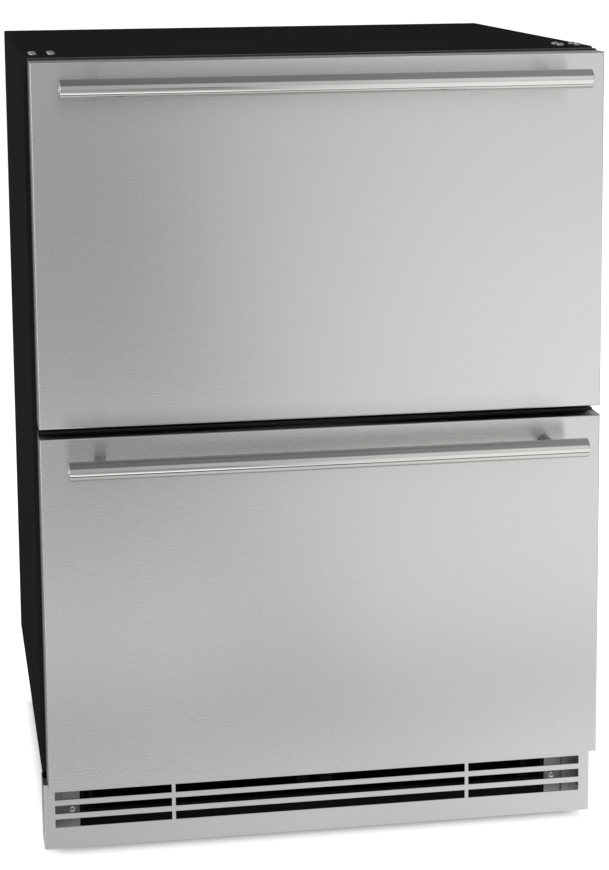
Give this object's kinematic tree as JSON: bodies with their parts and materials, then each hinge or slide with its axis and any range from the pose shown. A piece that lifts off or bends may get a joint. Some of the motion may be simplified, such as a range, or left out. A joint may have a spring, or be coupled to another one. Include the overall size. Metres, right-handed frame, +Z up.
{
  "type": "undercounter drawer refrigerator",
  "caption": "Undercounter refrigerator in a black steel cabinet with two stacked full-width stainless drawers, bar handles and a slotted toe grille.",
  "frame": {"origin": "on the floor, below the middle of the whole object in X and Y", "axes": "+Z up, -Y out of the drawer fronts towards the user, +X to the right seen from the front"},
  "size_m": [0.608, 0.6362, 0.8695],
  "materials": {
    "cabinet_paint": "satin",
    "galvanised_steel": "satin",
    "pan_paint": "satin",
    "stainless_front": "satin",
    "stainless_handle": "polished",
    "stainless_grille": "satin",
    "stainless_bin": "satin",
    "screw_steel": "polished",
    "liner_plastic": "satin",
    "black_plastic": "satin",
    "gasket_rubber": "matte",
    "insulating_foam": "matte",
    "copper_pipe": "satin",
    "coil_aluminium": "satin",
    "compressor_paint": "gloss",
    "slide_steel": "satin",
    "ball_steel": "polished",
    "lens_plastic": "satin"
  },
  "bodies": {
    "cabinet": {"outer_wrapper": "cabinet_paint", "back_panel": "galvanised_steel", "bottom_panel": "galvanised_steel", "machine_tunnel": "galvanised_steel", "foam_insulation": "insulating_foam", "inner_liner": "liner_plastic", "face_frame": "black_plastic", "crossbar": "black_plastic", "top_corner_plates": "galvanised_steel", "top_screws": "screw_steel", "rear_cover": "galvanised_steel", "back_screws": "screw_steel", "base_pan": "pan_paint", "cord_gland": "black_plastic", "weld_nuts": "galvanised_steel", "toe_grille": "stainless_grille", "grille_brackets": "galvanised_steel", "bracket_screws": "screw_steel", "centre_hanger": "pan_paint", "compressor": "compressor_paint", "compressor_mounts": "gasket_rubber", "relay_box": "black_plastic", "refrigerant_lines": "copper_pipe", "drip_tray": "black_plastic", "drain_tube": "black_plastic", "condenser_coil": "coil_aluminium", "condenser_shroud": "pan_paint", "condenser_motor": "galvanised_steel", "evaporator_coil": "coil_aluminium", "evaporator_cover": "liner_plastic", "evaporator_motor": "galvanised_steel", "control_housing": "black_plastic", "light_lens": "lens_plastic", "fixed_slides": "slide_steel"},
    "upper_drawer": {"upper_skin": "stainless_front", "upper_core": "insulating_foam", "upper_panel": "black_plastic", "upper_gasket": "gasket_rubber", "upper_handle": "stainless_handle", "upper_posts": "stainless_handle", "upper_bin": "stainless_bin", "upper_drawer_slides": "slide_steel"},
    "lower_drawer": {"lower_skin": "stainless_front", "lower_core": "insulating_foam", "lower_panel": "black_plastic", "lower_gasket": "gasket_rubber", "lower_handle": "stainless_handle", "lower_posts": "stainless_handle", "lower_bin": "stainless_bin", "lower_drawer_slides": "slide_steel"},
    "upper_slides": {"upper_mid_slides": "slide_steel", "upper_slide_balls": "ball_steel"},
    "lower_slides": {"lower_mid_slides": "slide_steel", "lower_slide_balls": "ball_steel"},
    "condenser_fan_rotor": {"condenser_fan": "black_plastic"},
    "evaporator_fan_rotor": {"evaporator_fan": "black_plastic"},
    "front_left_levelling_foot": {"front_left_foot": "black_plastic"},
    "front_right_levelling_foot": {"front_right_foot": "black_plastic"},
    "rear_left_levelling_foot": {"rear_left_foot": "black_plastic"},
    "rear_right_levelling_foot": {"rear_right_foot": "black_plastic"}
  },
  "joints": [
    {"name": "upper_drawer_slide", "type": "slide", "parent": "cabinet", "child": "upper_drawer", "axis": [0, -1, 0], "range_m": [0, 0.39]},
    {"name": "upper_mid_slide", "type": "slide", "parent": "cabinet", "child": "upper_slides", "axis": [0, -1, 0], "range_m": [0, 0.195]},
    {"name": "lower_drawer_slide", "type": "slide", "parent": "cabinet", "child": "lower_drawer", "axis": [0, -1, 0], "range_m": [0, 0.27]},
    {"name": "lower_mid_slide", "type": "slide", "parent": "cabinet", "child": "lower_slides", "axis": [0, -1, 0], "range_m": [0, 0.135]},
    {"name": "condenser_fan_spin", "type": "hinge", "parent": "cabinet", "child": "condenser_fan_rotor", "pos_m": [0.146, 0.2044, 0.1165], "axis": [0, 1, 0], "continuous": true},
    {"name": "evaporator_fan_spin", "type": "hinge", "parent": "cabinet", "child": "evaporator_fan_rotor", "pos_m": [0, 0.2346, 0.7345], "axis": [0, 1, 0], "continuous": true},
    {"name": "front_left_foot_height", "type": "slide", "parent": "cabinet", "child": "front_left_levelling_foot", "axis": [0, 0, -1], "range_m": [0, 0.025]},
    {"name": "front_right_foot_height", "type": "slide", "parent": "cabinet", "child": "front_right_levelling_foot", "axis": [0, 0, -1], "range_m": [0, 0.025]},
    {"name": "rear_left_foot_height", "type": "slide", "parent": "cabinet", "child": "rear_left_levelling_foot", "axis": [0, 0, -1], "range_m": [0, 0.025]},
    {"name": "rear_right_foot_height", "type": "slide", "parent": "cabinet", "child": "rear_right_levelling_foot", "axis": [0, 0, -1], "range_m": [0, 0.025]}
  ],
  "couplings": [
    {"joint": "upper_mid_slide", "follows": "upper_drawer_slide", "ratio": 0.5},
    {"joint": "lower_mid_slide", "follows": "lower_drawer_slide", "ratio": 0.5}
  ]
}
